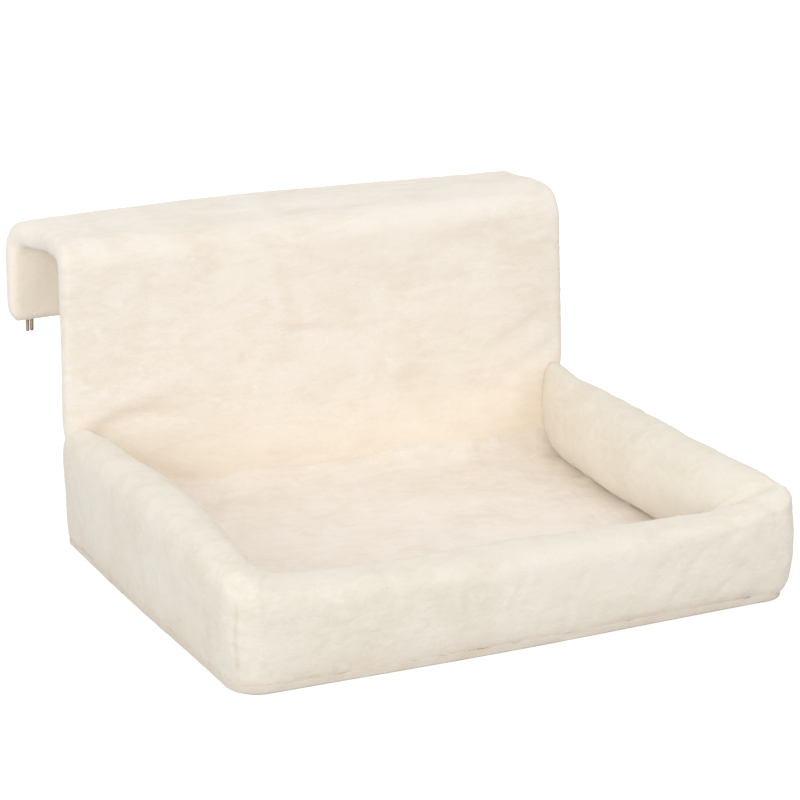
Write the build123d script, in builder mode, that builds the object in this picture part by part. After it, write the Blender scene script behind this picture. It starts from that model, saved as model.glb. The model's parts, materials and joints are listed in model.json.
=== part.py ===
"""A plush cat bed that hangs on a radiator: a padded tub on a tube frame with sliding hooks."""

import os
from math import cos, radians, sin, tan
from build123d import *

os.makedirs("parts", exist_ok=True)

# Whole bed, in millimetres. X runs to the right, Y to the radiator and Z up from the underside.
bed_width = 460.0
bed_depth = 384.0
bed_height = 252.0
hook_reach = 94.0
hook_travel = 28.0

# Soft covers and how close the pieces lie
cover_wall = 2.5
seat_gap = 0.3
hole_gap = 0.15
sliding_gap = 0.05
channel_wall = 0.6
overrun = 20.0

# Back panel, hook top and rear flap, which are one padded strip
panel_thickness = 16.0
hook_top_thickness = 18.0
flap_thickness = 16.0
flap_drop = 82.0
flap_spread = 8.0
panel_top_inset = 4.0
channel_corner_radius = 11.0
flap_corner_radius = 6.0
front_top_radius = 17.0
rear_top_radius = 13.0
hem_radius = 6.5
end_rounding = 4.5

# Tub
base_height = 13.0
floor_height = 25.0
floor_crown = 5.0
floor_rear_radius = 30.0
floor_cover_turn = 75.0
floor_pad_turn = 60.0
side_wall_height = 98.0
front_wall_height = 75.0
side_bolster_width = 58.0
front_bolster_width = 56.0
bolster_crest_inset = 22.0
side_foot_share = 0.4
front_foot_share = 0.6
side_bulge_share = 0.54
front_bulge_share = 0.46
bolster_tuck = 3.0
tub_corner_radius = 22.0

# How the side bolsters swell from the back panel to the front corner
side_station_shares = (0.0, 0.22, 0.5, 0.78, 1.0)
side_width_shares = (0.64, 0.86, 1.0, 0.96, 0.86)
side_height_shares = (0.97, 1.0, 1.0, 0.98, 0.92)

# How the front bolster sags between its corners, from the left to the right
front_station_shares = (-1.0, -0.88, -0.74, -0.35, 0.1, 0.52, 0.76, 0.89, 1.0)
front_width_shares = (0.86, 0.93, 0.98, 1.0, 1.0, 1.0, 0.98, 0.93, 0.86)
front_height_shares = (1.17, 1.12, 1.03, 0.99, 1.0, 0.96, 1.0, 1.1, 1.17)
floor_station_shares = (-1.0, -0.6, 0.0, 0.6, 1.0)

# Steel frame
wire_diameter = 3.0
wire_pitch = 3.7
tube_wall = 0.6
rail_diameter = 5.0
upright_bend_radius = 18.0
foot_bend_radius = 12.0
hoop_bend_radius = 38.0
hook_bend_radius = 12.0
hoop_front_inset = 14.0
foot_length = 24.0
spigot_length = 25.0
swage_length = 3.0
hook_grip_length = 32.0
prong_length = 13.0
prong_lean = 1.8
hook_splay = 5.2
rail_end_margin = 16.0
crossbar_shares = (0.2, 0.5, 0.8)
back_rail_count = 3
spreader_height = 22.0

# Guide caps on the arms, and the screws of the plug joints
cap_wall = 1.2
cap_length = 8.0
cap_end_wall = 2.0
screw_diameter = 3.0
screw_head_diameter = 5.6
screw_head_height = 1.8

# Hook and loop closure between the tray and the back cover
closure_thickness = 1.2
closure_height = 8.0
closure_width = 380.0

# Places worked out from those sizes
half_width = bed_width / 2
half_top_width = half_width - panel_top_inset
panel_rear_y = bed_depth / 2
panel_front_y = panel_rear_y - panel_thickness
tub_front_y = -bed_depth / 2
tub_rear_y = panel_front_y - seat_gap
flap_rear_y = panel_rear_y + hook_reach
flap_front_y = flap_rear_y - flap_thickness
hook_underside_z = bed_height - hook_top_thickness
hem_z = bed_height - flap_drop
flap_foot_half_width = half_top_width + flap_spread * (bed_height + overrun) / (flap_drop + overrun)

wire_radius = wire_diameter / 2
bore_radius = (wire_pitch + wire_diameter) / 2 + sliding_gap
tube_radius = bore_radius + tube_wall
cap_radius = tube_radius + sliding_gap + cap_wall
rail_radius = rail_diameter / 2
channel_depth = cover_wall + seat_gap + channel_wall + seat_gap
upright_x = half_top_width - channel_depth - cap_radius
upright_y = (panel_front_y + panel_rear_y) / 2
hoop_z = channel_depth + tube_radius
arm_z = (hook_underside_z + bed_height) / 2
arm_end_y = panel_rear_y + hook_travel + hook_grip_length
cap_end_y = arm_end_y + cap_end_wall
split_y = cap_end_y + seat_gap
shoulder_y = upright_y - foot_length
hoop_end_y = shoulder_y - swage_length - seat_gap
screw_y = hoop_end_y - spigot_length / 2
hoop_front_y = tub_front_y + hoop_front_inset
wire_y = flap_rear_y - cover_wall - seat_gap - wire_radius
hairpin_y = upright_y + upright_bend_radius + tube_radius
tray_rear_y = tub_rear_y - 2 * (closure_thickness + seat_gap)
bolster_base_z = base_height + seat_gap


def keep(name, builder):
    """Labels a finished piece and writes it."""
    builder.part.label = name
    export_step(builder.part, f"parts/{name}.step")


def strip_solid(inset, foot_half_width):
    """The padded strip: panel, hook top and flap, drawn in all round by the inset, its ends leaning to a foot."""
    outline = [
        (panel_rear_y - inset, inset),
        (panel_rear_y - inset, hook_underside_z + inset),
        (flap_front_y + inset, hook_underside_z + inset),
        (flap_front_y + inset, hem_z + inset),
        (flap_rear_y - inset, hem_z + inset),
        (flap_rear_y - inset, bed_height - inset),
        (panel_front_y + inset, bed_height - inset),
        (panel_front_y + inset, inset),
    ]
    corners = [
        end_rounding - inset,
        channel_corner_radius + inset,
        flap_corner_radius + inset,
        hem_radius - inset,
        hem_radius - inset,
        rear_top_radius - inset,
        front_top_radius - inset,
        end_rounding - inset,
    ]
    with BuildPart(mode=Mode.PRIVATE) as strip:
        with BuildSketch(Plane.YZ.offset(-foot_half_width)):
            with BuildLine():
                FilletPolyline(*outline, radius=corners, close=True)
            make_face()
        extrude(amount=2 * foot_half_width)
        with BuildSketch(Plane.XZ.offset(-flap_rear_y - overrun)):
            with BuildLine():
                Polyline(
                    (inset - foot_half_width, -overrun),
                    (foot_half_width - inset, -overrun),
                    (foot_half_width - inset, 0),
                    (half_top_width - inset, bed_height + overrun),
                    (inset - half_top_width, bed_height + overrun),
                    (inset - foot_half_width, 0),
                    close=True,
                )
            make_face()
        extrude(amount=bed_depth + hook_reach + 2 * overrun, mode=Mode.INTERSECT)
        ends = strip.faces().sort_by(Axis.X)
        fillet(ends[0].edges() + ends[-1].edges(), radius=end_rounding - inset)
    return strip.part


def front_of_split(offset):
    """The space in front of the joint where the cover parts as the hooks slide."""
    with BuildPart(mode=Mode.PRIVATE) as space:
        with BuildSketch(Plane.XZ.offset(-split_y + offset)):
            with Locations((0, bed_height / 2)):
                Rectangle(2 * flap_foot_half_width + overrun, bed_height + overrun)
        extrude(amount=bed_depth + hook_reach)
    return space.part


def behind_split():
    """The space behind that joint."""
    with BuildPart(mode=Mode.PRIVATE) as space:
        with BuildSketch(Plane.XZ.offset(-split_y)):
            with Locations((0, bed_height / 2)):
                Rectangle(2 * flap_foot_half_width + overrun, bed_height + overrun)
        extrude(amount=-hook_reach)
    return space.part


def rod(plane, points, bends, radius):
    """A round rod along a bent line drawn on a plane."""
    with BuildPart(mode=Mode.PRIVATE) as bar:
        with BuildLine(plane) as line:
            FilletPolyline(*points, radius=bends)
        with BuildSketch(Plane(line.line @ 0, z_dir=line.line % 0)):
            Circle(radius)
        sweep(path=line.line)
    return bar.part


def straight_rod(start, direction, length, radius):
    """A straight round rod from a point."""
    with BuildPart(mode=Mode.PRIVATE) as bar:
        with BuildSketch(Plane(start, z_dir=direction)):
            Circle(radius)
        extrude(amount=length)
    return bar.part


def upright_rod(side, radius):
    """The line of one upright: its foot, the post and the arm over the radiator."""
    points = [
        (shoulder_y, hoop_z),
        (upright_y, hoop_z),
        (upright_y, arm_z),
        (arm_end_y, arm_z),
    ]
    bends = [foot_bend_radius, upright_bend_radius]
    return rod(Plane.YZ.offset(side * upright_x), points, bends, radius)


def hoop_rod(radius):
    """The line of the base hoop, round the tub from the left foot to the right foot."""
    points = [
        (-upright_x, hoop_end_y),
        (-upright_x, hoop_front_y),
        (upright_x, hoop_front_y),
        (upright_x, hoop_end_y),
    ]
    return rod(Plane.XY.offset(hoop_z), points, [hoop_bend_radius] * 2, radius)


def crossbar_rods(radius):
    """The wires under the floor, across the hoop."""
    length = hoop_end_y - hoop_front_y
    return [
        straight_rod((-upright_x, hoop_front_y + share * length, hoop_z), (1, 0, 0), 2 * upright_x, radius)
        for share in crossbar_shares
    ]


def back_rail_rods(radius):
    """The wires across the back panel, between the uprights."""
    low = hoop_z + foot_bend_radius + rail_end_margin
    high = arm_z - upright_bend_radius - rail_end_margin
    step = (high - low) / (back_rail_count - 1)
    return [
        straight_rod((-upright_x, upright_y, low + n * step), (1, 0, 0), 2 * upright_x, radius)
        for n in range(back_rail_count)
    ]


def screw_rods(radius, head_radius):
    """The screws of the plug joints, with their heads on the inner side."""
    solids = []
    for side in (-1, 1):
        start = side * (upright_x - tube_radius)
        shank = straight_rod((start, screw_y, hoop_z), (side, 0, 0), 2 * tube_radius, radius)
        head = straight_rod((start, screw_y, hoop_z), (-side, 0, 0), screw_head_height, head_radius)
        solids.append((shank, head))
    return solids


def hook_leg(x, side, radius):
    """One leg of a hairpin hook: along the arm, down behind the radiator, splayed to its side, and out of the hem."""
    lean = (cos(radians(hook_splay)), 0, side * sin(radians(hook_splay)))
    points = [
        (hairpin_y, 0),
        (wire_y, 0),
        (wire_y, hem_z - wire_radius - arm_z),
        (wire_y - prong_lean, hem_z - prong_length - arm_z),
    ]
    plane = Plane((x, 0, arm_z), x_dir=(0, 1, 0), z_dir=lean)
    return rod(plane, points, [hook_bend_radius, wire_diameter], radius)


def hook_rods(side, radius):
    """Both legs of a hook."""
    return [hook_leg(side * upright_x + leg * wire_pitch / 2, side, radius) for leg in (-1, 1)]


def spreader_rod(radius):
    """The wire that keeps the two hooks apart, welded into the saddle between it and their inner legs."""
    z = hem_z + spreader_height
    reach = upright_x - wire_pitch / 2 - wire_radius / 3 + (arm_z - z) * tan(radians(hook_splay))
    return straight_rod((-reach, wire_y, z), (1, 0, 0), 2 * reach, radius)


def tub_prism(inset, rear_y, low_z, high_z):
    """The tub's rounded plan, standing between two heights."""
    with BuildPart(mode=Mode.PRIVATE) as block:
        with BuildSketch(Plane.XY.offset(low_z)):
            with BuildLine():
                FilletPolyline(
                    (inset - half_width, rear_y),
                    (inset - half_width, tub_front_y + inset),
                    (half_width - inset, tub_front_y + inset),
                    (half_width - inset, rear_y),
                    radius=[0, tub_corner_radius - inset, tub_corner_radius - inset, 0],
                    close=True,
                )
            make_face()
        extrude(amount=high_z - low_z)
    return block.part


def mitre_prism(inset, front):
    """The plan between the corner mitres: the front bolster's share, or else the left bolster's."""
    reach = half_width / 2
    if front:
        corners = [
            (inset - half_width, tub_front_y),
            (inset - half_width + reach, tub_front_y + reach),
            (half_width - inset - reach, tub_front_y + reach),
            (half_width - inset, tub_front_y),
        ]
    else:
        corners = [
            (-half_width, tub_front_y + inset),
            (reach - half_width, tub_front_y + inset + reach),
            (reach - half_width, tub_rear_y - inset),
            (-half_width, tub_rear_y - inset),
        ]
    with BuildPart(mode=Mode.PRIVATE) as block:
        with BuildSketch(Plane.XY):
            with BuildLine():
                Polyline(*corners, close=True)
            make_face()
        extrude(amount=bed_height)
    return block.part


def bolster_outline(width, height, foot_share, bulge_share, inset):
    """A bolster's section, drawn from its outer face: foot, bulge over the floor, crest and outer face."""
    inner = width - inset
    top = height - inset
    bulge_z = bolster_base_z + bulge_share * (height - bolster_base_z)
    shoulder_z = height - bolster_crest_inset
    foot = (width * foot_share - inset, bolster_base_z + inset)
    heel = (bolster_tuck + inset, bolster_base_z + inset)
    crest = (bolster_crest_inset, top)
    bulge = (inner, bulge_z)
    shoulder = (inset, shoulder_z)
    Line(heel, foot)
    TangentArc(bulge, foot, tangent=(0, -1))
    TangentArc(bulge, crest, tangent=(0, 1))
    TangentArc(shoulder, crest, tangent=(0, 1))
    TangentArc(shoulder, heel, tangent=(0, -1))


def left_bolster(inset):
    """The left bolster, lofted from the back panel to the front corner and cut at its mitre."""
    run = tub_rear_y - tub_front_y
    with BuildPart(mode=Mode.PRIVATE) as roll:
        for station, width, height in zip(side_station_shares, side_width_shares, side_height_shares):
            y = tub_rear_y - station * run
            with BuildSketch(Plane((-half_width, y, 0), x_dir=(1, 0, 0), z_dir=(0, -1, 0))):
                with BuildLine():
                    bolster_outline(
                        side_bolster_width * width,
                        side_wall_height * height,
                        side_foot_share,
                        side_bulge_share,
                        inset,
                    )
                make_face()
        loft()
        add(tub_prism(inset, tub_rear_y, 0, bed_height), mode=Mode.INTERSECT)
        add(mitre_prism(inset + seat_gap / 2, False), mode=Mode.INTERSECT)
    return roll.part


def front_bolster(inset):
    """The front bolster, lofted from corner to corner and cut at both mitres."""
    with BuildPart(mode=Mode.PRIVATE) as roll:
        for station, width, height in zip(front_station_shares, front_width_shares, front_height_shares):
            x = half_width * station
            with BuildSketch(Plane((x, tub_front_y, 0), x_dir=(0, 1, 0), z_dir=(1, 0, 0))):
                with BuildLine():
                    bolster_outline(
                        front_bolster_width * width,
                        front_wall_height * height,
                        front_foot_share,
                        front_bulge_share,
                        inset,
                    )
                make_face()
        loft()
        add(tub_prism(inset, tub_rear_y, 0, bed_height), mode=Mode.INTERSECT)
        add(mitre_prism(inset + seat_gap / 2, True), mode=Mode.INTERSECT)
    return roll.part


def floor_solid(top_inset, bottom_z, turn, tip_height):
    """The floor under a crowned top that curves up into the back panel, down to a flat underside."""
    front_y = tub_front_y + bolster_crest_inset
    centre_y = tub_rear_y - cover_wall - floor_rear_radius
    radius = floor_rear_radius + top_inset
    with BuildPart(mode=Mode.PRIVATE) as pad:
        for share in floor_station_shares:
            x = share * (half_width - bolster_crest_inset)
            centre_z = floor_height - floor_crown * share**2 + floor_rear_radius
            arc_start = (centre_y, centre_z - radius)
            arc_end = (centre_y + radius * sin(radians(turn)), centre_z - radius * cos(radians(turn)))
            tip_z = arc_end[1] + tip_height
            with BuildSketch(Plane((x, 0, 0), x_dir=(0, 1, 0), z_dir=(1, 0, 0))):
                with BuildLine():
                    TangentArc(arc_start, arc_end, tangent=(1, 0))
                    Polyline(
                        arc_end,
                        (arc_end[0], tip_z),
                        (tub_rear_y, tip_z),
                        (tub_rear_y, bottom_z),
                        (front_y, bottom_z),
                        (front_y, centre_z - radius),
                        arc_start,
                    )
                make_face()
        loft(ruled=True)
    return pad.part


# Steel frame: two uprights with feet, posts and arms, and swaged spigots on the feet
for name, side in (("left_upright", -1), ("right_upright", 1)):
    spigot_radius = bore_radius - sliding_gap
    swage_y = shoulder_y - swage_length
    with BuildPart() as upright:
        add(upright_rod(side, tube_radius))
        add(upright_rod(side, bore_radius), mode=Mode.SUBTRACT)
        with BuildSketch(Plane.YZ.offset(side * upright_x)):
            with BuildLine():
                Polyline(
                    (shoulder_y, hoop_z + bore_radius),
                    (shoulder_y, hoop_z + tube_radius),
                    (swage_y, hoop_z + spigot_radius),
                    (swage_y - spigot_length, hoop_z + spigot_radius),
                    (swage_y - spigot_length, hoop_z + spigot_radius - tube_wall),
                    (swage_y, hoop_z + spigot_radius - tube_wall),
                    close=True,
                )
            make_face()
        revolve(axis=Axis((side * upright_x, shoulder_y, hoop_z), (0, -1, 0)))
        for shank, head in screw_rods(screw_diameter / 2 + sliding_gap, screw_head_diameter / 2):
            add(shank, mode=Mode.SUBTRACT)
    keep(name, upright)

# Base hoop, plugged on both spigots
with BuildPart() as base_hoop:
    add(hoop_rod(tube_radius))
    add(hoop_rod(bore_radius), mode=Mode.SUBTRACT)
    for shank, head in screw_rods(screw_diameter / 2 + sliding_gap, screw_head_diameter / 2):
        add(shank, mode=Mode.SUBTRACT)
keep("base_hoop", base_hoop)

# Screws that lock the hoop on the spigots
with BuildPart() as joint_screws:
    for shank, head in screw_rods(screw_diameter / 2, screw_head_diameter / 2):
        add(shank)
        add(head)
keep("joint_screws", joint_screws)

# Wires under the floor, with ends cut to saddle the hoop
for number, bar in enumerate(crossbar_rods(rail_radius), 1):
    with BuildPart() as crossbar:
        add(bar)
        add(hoop_rod(tube_radius), mode=Mode.SUBTRACT)
    keep(f"floor_crossbar_{number}", crossbar)

# Wires across the back, with ends cut to saddle the uprights
for number, bar in enumerate(back_rail_rods(rail_radius), 1):
    with BuildPart() as back_rail:
        add(bar)
        for side in (-1, 1):
            add(upright_rod(side, tube_radius), mode=Mode.SUBTRACT)
    keep(f"back_rail_{number}", back_rail)

# Moulded caps on the ends of the arms, each with a slot that guides a hairpin
for name, side in (("left_arm_cap", -1), ("right_arm_cap", 1)):
    with BuildPart() as arm_cap:
        add(straight_rod((side * upright_x, cap_end_y, arm_z), (0, -1, 0), cap_length, cap_radius))
        fillet(arm_cap.faces().sort_by(Axis.Y)[-1].edges(), radius=cap_wall / 2)
        add(
            straight_rod(
                (side * upright_x, arm_end_y + sliding_gap, arm_z),
                (0, -1, 0),
                cap_length,
                tube_radius + sliding_gap,
            ),
            mode=Mode.SUBTRACT,
        )
        with BuildSketch(Plane((side * upright_x, cap_end_y, arm_z), x_dir=(1, 0, 0), z_dir=(0, -1, 0))):
            SlotOverall(2 * bore_radius, wire_diameter + 2 * sliding_gap)
        extrude(amount=cap_length, mode=Mode.SUBTRACT)
    keep(name, arm_cap)

# Hairpin hooks: two wires side by side, closed inside the arm and open at the round prongs
for name, side in (("left_hook", -1), ("right_hook", 1)):
    with BuildPart() as hook:
        for leg in hook_rods(side, wire_radius):
            add(leg)
        fillet(
            hook.edges().filter_by(GeomType.CIRCLE).group_by(Axis.Z)[0],
            radius=wire_radius - 2 * sliding_gap,
        )
        with BuildSketch(Plane.XZ.offset(-hairpin_y)):
            with Locations((side * upright_x + wire_pitch / 2, arm_z)):
                Circle(wire_radius)
        revolve(axis=Axis((side * upright_x, hairpin_y, arm_z), (0, 0, -1)), revolution_arc=180)
    keep(name, hook)

# Wire between the hooks, inside the flap
with BuildPart() as hook_spreader:
    add(spreader_rod(wire_radius))
    for side in (-1, 1):
        for leg in hook_rods(side, wire_radius):
            add(leg, mode=Mode.SUBTRACT)
keep("hook_spreader", hook_spreader)

# Padded strip: the outer cover, hollow round its wadding and the frame
filling_inset = cover_wall + seat_gap

with BuildPart() as back_cover:
    add(strip_solid(0, half_width))
    add(strip_solid(cover_wall, half_width), mode=Mode.SUBTRACT)
    add(front_of_split(seat_gap), mode=Mode.INTERSECT)
    for side in (-1, 1):
        add(upright_rod(side, tube_radius + hole_gap), mode=Mode.SUBTRACT)
keep("back_cover", back_cover)

with BuildPart() as flap_cover:
    add(strip_solid(0, flap_foot_half_width))
    add(strip_solid(cover_wall, flap_foot_half_width), mode=Mode.SUBTRACT)
    add(behind_split(), mode=Mode.INTERSECT)
    for side in (-1, 1):
        for leg in hook_rods(side, wire_radius + hole_gap):
            add(leg, mode=Mode.SUBTRACT)
keep("flap_cover", flap_cover)

# Wadding, with channels for the frame
with BuildPart() as back_wadding:
    add(strip_solid(filling_inset, half_width))
    add(front_of_split(seat_gap), mode=Mode.INTERSECT)
    for side in (-1, 1):
        add(upright_rod(side, tube_radius + seat_gap), mode=Mode.SUBTRACT)
        cap = straight_rod(
            (side * upright_x, cap_end_y + overrun, arm_z),
            (0, -1, 0),
            cap_length + overrun + seat_gap,
            cap_radius + seat_gap,
        )
        add(cap, mode=Mode.SUBTRACT)
    for bar in back_rail_rods(rail_radius + seat_gap):
        add(bar, mode=Mode.SUBTRACT)
keep("back_wadding", back_wadding)

with BuildPart() as flap_wadding:
    add(strip_solid(filling_inset, flap_foot_half_width))
    add(behind_split(), mode=Mode.INTERSECT)
    for side in (-1, 1):
        for leg in hook_rods(side, wire_radius + seat_gap):
            add(leg, mode=Mode.SUBTRACT)
    add(spreader_rod(wire_radius + seat_gap), mode=Mode.SUBTRACT)
keep("flap_wadding", flap_wadding)

# Base tray of cloth, with a band up its sides
with BuildPart() as base_cover:
    add(tub_prism(0, tray_rear_y, 0, base_height))
    hollow_rear_y = tray_rear_y - cover_wall
    add(tub_prism(cover_wall, hollow_rear_y, cover_wall, base_height + overrun), mode=Mode.SUBTRACT)
    for side in (-1, 1):
        add(upright_rod(side, tube_radius + hole_gap), mode=Mode.SUBTRACT)
keep("base_cover", base_cover)

# Foam in the tray, with channels for the hoop, its crossbars and the screws
with BuildPart() as base_pad:
    inner = cover_wall + seat_gap
    add(tub_prism(inner, tray_rear_y - inner, inner, base_height))
    add(hoop_rod(tube_radius + seat_gap), mode=Mode.SUBTRACT)
    for side in (-1, 1):
        add(upright_rod(side, tube_radius + seat_gap), mode=Mode.SUBTRACT)
        joint = straight_rod(
            (side * upright_x, shoulder_y, hoop_z), (0, -1, 0), spigot_length, tube_radius + seat_gap
        )
        add(joint, mode=Mode.SUBTRACT)
    for bar in crossbar_rods(rail_radius + seat_gap):
        add(bar, mode=Mode.SUBTRACT)
    for shank, head in screw_rods(screw_diameter / 2, screw_head_diameter / 2 + seat_gap):
        add(head, mode=Mode.SUBTRACT)
keep("base_pad", base_pad)

# The space of the three bolsters, with the gap that the floor keeps to them
left_clearance = left_bolster(-seat_gap)
wall_clearances = [left_clearance, mirror(left_clearance, about=Plane.YZ), front_bolster(-seat_gap)]

# Floor: a crowned foam pad under a plush cover that curves up into the back panel
with BuildPart() as floor_pad:
    add(floor_solid(cover_wall + seat_gap, bolster_base_z, floor_pad_turn, seat_gap))
    for wall in wall_clearances:
        add(wall, mode=Mode.SUBTRACT)
keep("floor_pad", floor_pad)

with BuildPart() as floor_cover:
    add(floor_solid(0, bolster_base_z, floor_cover_turn, seat_gap))
    add(floor_solid(cover_wall, 0, floor_cover_turn, overrun), mode=Mode.SUBTRACT)
    for wall in wall_clearances:
        add(wall, mode=Mode.SUBTRACT)
keep("floor_cover", floor_cover)

# Bolsters round three sides, each a plush cover with its filling
for name, bolster in (("left", left_bolster), ("front", front_bolster)):
    with BuildPart() as bolster_cover:
        add(bolster(0))
        add(bolster(cover_wall), mode=Mode.SUBTRACT)
    with BuildPart() as bolster_filling:
        add(bolster(cover_wall + seat_gap))
    keep(f"{name}_bolster_cover", bolster_cover)
    keep(f"{name}_bolster_filling", bolster_filling)
    if name == "left":
        with BuildPart() as right_bolster_cover:
            add(mirror(bolster_cover.part, about=Plane.YZ))
        with BuildPart() as right_bolster_filling:
            add(mirror(bolster_filling.part, about=Plane.YZ))
        keep("right_bolster_cover", right_bolster_cover)
        keep("right_bolster_filling", right_bolster_filling)

# Hook and loop closure that holds the tray to the back cover
for name, layer in (("closure_loop_strip", 0), ("closure_hook_strip", 1)):
    rear_y = tub_rear_y - layer * (closure_thickness + seat_gap)
    with BuildPart() as closure:
        with BuildSketch(Plane.XY.offset((base_height - closure_height) / 2)):
            with Locations((0, rear_y - closure_thickness / 2)):
                Rectangle(closure_width, closure_thickness)
        extrude(amount=closure_height)
    keep(name, closure)
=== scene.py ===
"""A plush radiator cat bed: the covers, stuffing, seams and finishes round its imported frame."""

import json
import math

import bmesh
import bpy
import numpy as np
from mathutils import Matrix, Vector


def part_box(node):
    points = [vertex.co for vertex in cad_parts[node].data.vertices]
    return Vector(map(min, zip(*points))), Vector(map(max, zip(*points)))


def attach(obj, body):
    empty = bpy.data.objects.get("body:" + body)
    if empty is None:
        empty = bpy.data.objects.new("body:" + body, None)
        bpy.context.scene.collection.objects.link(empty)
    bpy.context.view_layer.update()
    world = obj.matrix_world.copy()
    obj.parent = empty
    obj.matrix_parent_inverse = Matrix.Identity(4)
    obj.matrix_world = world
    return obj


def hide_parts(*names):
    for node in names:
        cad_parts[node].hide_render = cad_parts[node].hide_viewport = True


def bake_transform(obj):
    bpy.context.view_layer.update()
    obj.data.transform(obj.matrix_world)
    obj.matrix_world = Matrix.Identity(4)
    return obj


bl_info = {
    "name": "Radiator Cat Bed",
    "version": (1, 0, 0),
    "blender": (4, 5, 0),
    "location": "View3D > Sidebar > Cat Bed",
    "description": "Builds the plush covers, seams and finishes of a radiator cat bed round its frame",
    "category": "Object",
}

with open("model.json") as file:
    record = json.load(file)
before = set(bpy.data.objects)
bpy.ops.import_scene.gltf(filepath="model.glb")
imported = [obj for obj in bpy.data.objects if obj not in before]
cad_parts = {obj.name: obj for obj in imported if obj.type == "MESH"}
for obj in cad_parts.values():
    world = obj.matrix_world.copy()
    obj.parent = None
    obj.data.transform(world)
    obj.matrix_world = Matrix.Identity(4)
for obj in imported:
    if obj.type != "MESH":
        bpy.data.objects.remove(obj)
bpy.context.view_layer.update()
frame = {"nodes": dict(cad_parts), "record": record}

MM = 0.001
SEED = 7

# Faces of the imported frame, in metres, that the cloth follows
PANEL_LOW, PANEL_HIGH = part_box("back_cover")
FLAP_LOW, FLAP_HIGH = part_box("flap_cover")
TRAY_LOW, TRAY_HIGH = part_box("base_cover")
HALF_WIDTH = TRAY_HIGH.x
TUB_FRONT = TRAY_LOW.y
PANEL_FRONT = PANEL_LOW.y
FLAP_REAR = FLAP_HIGH.y
TOP = PANEL_HIGH.z
HEM = FLAP_LOW.z

# The same faces in millimetres, in which the folds, seams and swells are written
HALF, FRONT, PANEL, REAR, HIGH = (face / MM for face in (HALF_WIDTH, TUB_FRONT, PANEL_FRONT, FLAP_REAR, TOP))


def length(name, text, millimetres):
    """A size that a user may change."""
    size = millimetres * MM
    return bpy.props.FloatProperty(
        name=name, description=text, default=size, min=0.0, precision=4, unit="LENGTH", subtype="DISTANCE"
    )


def number(name, text, value, subtype="NONE"):
    """A number, angle or power."""
    return bpy.props.FloatProperty(name=name, description=text, default=value, subtype=subtype)


def tint(name, text, value):
    """A colour."""
    return bpy.props.FloatVectorProperty(
        name=name, description=text, default=value, min=0.0, max=1.0, size=3, subtype="COLOR"
    )


class StripSizes(bpy.types.PropertyGroup):
    """The padded strip that hangs the bed."""

    thickness: length("Panel thickness", "Thickness of the padded back panel", 16)
    top_thickness: length("Top thickness", "Thickness of the strip over the radiator", 18)
    front_radius: length("Front top radius", "Rounding of the strip's front top edge", 21)
    rear_radius: length("Rear top radius", "Rounding of the strip's rear top edge", 11)
    inner_front_radius: length("Inner front radius", "Rounding inside the strip, at the panel", 11)
    inner_rear_radius: length("Inner rear radius", "Rounding inside the strip, at the flap", 10)
    end_radius: length("End radius", "Rounding of the strip's ends and hem", 7)
    flare: length("Flap flare", "How far the flap's left end stands out", 16)
    fold_depth: length("Fold depth", "Depth of the deepest fold in the panel", 2.8)
    slack_depth: length("Slack depth", "Height of the soft waves in the panel", 0.9)
    top_rise: length("Top rise", "How much the padding raises the top's middle and right end", 4.2)


class TubSizes(bpy.types.PropertyGroup):
    """The stuffed rim and the floor of the tub."""

    side_height: length("Side height", "Height of the side bolsters", 98)
    front_height: length("Front height", "Height of the front bolster between its corners", 73.5)
    side_width: length("Side width", "Width of the side bolsters at their middle", 52)
    front_width: length("Front width", "Width of the front bolster", 56)
    left_radius: length("Left radius", "Rounding of the tub's left front corner in plan", 24)
    right_radius: length("Right radius", "Rounding of the tub's right front corner in plan", 14)
    front_bulge: length("Front bulge", "How far the front wall's face swells out", 1.5)
    right_bulge: length("Right bulge", "How far the right front corner swells out", 3.5)
    front_bow: length("Front bow", "How far the front's foot bows out at its middle", 4.5)
    left_taper: length("Left taper", "How far the left wall's foot draws in towards the front", 5)
    right_rise: length("Right rise", "How much higher the right side stands before its corner", 3)
    right_drop: length("Right drop", "How much lower the right corner itself is", 1.5)
    valley: length("Valley", "Depth of the fold behind the front crest at the right corner", 4)
    tuck: length("Tuck", "Depth of the drawn-in corner seams", 0.8)
    shoulder: length("Shoulder", "Distance of the crest from the outer face", 23)
    seam_height: length("Seam height", "Height of the seam above the ground", 6)
    floor_height: length("Floor height", "Height of the floor at its middle", 25.5)
    floor_crown: length("Floor crown", "How much higher the floor is at its middle than at its sides", 4)
    floor_radius: length("Floor radius", "Rounding between the floor and the back panel", 27)


class FinishSettings(bpy.types.PropertyGroup):
    """Colours of the cloth and the metal."""

    plush: tint("Plush", "Colour of the brushed pile", (0.93, 0.855, 0.755))
    plush_shade: tint("Plush shade", "Colour between the tufts of the pile", (0.85, 0.745, 0.61))
    plush_tip: tint("Plush tip", "Colour of the pile's ruffled tips", (0.95, 0.90, 0.83))
    # Painted bounce light: the lighter, warmer colour laid inside the flap and low on the panel
    plush_bounce_light: tint("Warm plush", "Colour of the pile in the flap and low on the panel", (1.0, 0.90, 0.77))
    # Painted shade: the darker colour laid into seams, folds, the rim's foot and the tray's lip
    plush_crease_shade: tint("Plush tuck", "Colour deep in a seam or fold", (0.70, 0.55, 0.42))
    wire: tint("Wire", "Colour of the hooks", (0.40, 0.29, 0.20))
    tube: tint("Tube", "Colour of the coated tubes", (0.075, 0.055, 0.04))
    thread: tint("Thread", "Colour of the sewing thread", (0.84, 0.76, 0.65))
    tape: tint("Tape", "Colour of the closure tape", (0.78, 0.75, 0.69))


class SewingSizes(bpy.types.PropertyGroup):
    """Stitches of the seams."""

    stitch: length("Stitch", "Length of a stitch", 2.6)
    pitch: length("Pitch", "Distance from stitch to stitch", 3.4)
    thread: length("Thread", "Radius of the thread", 0.2)


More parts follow.
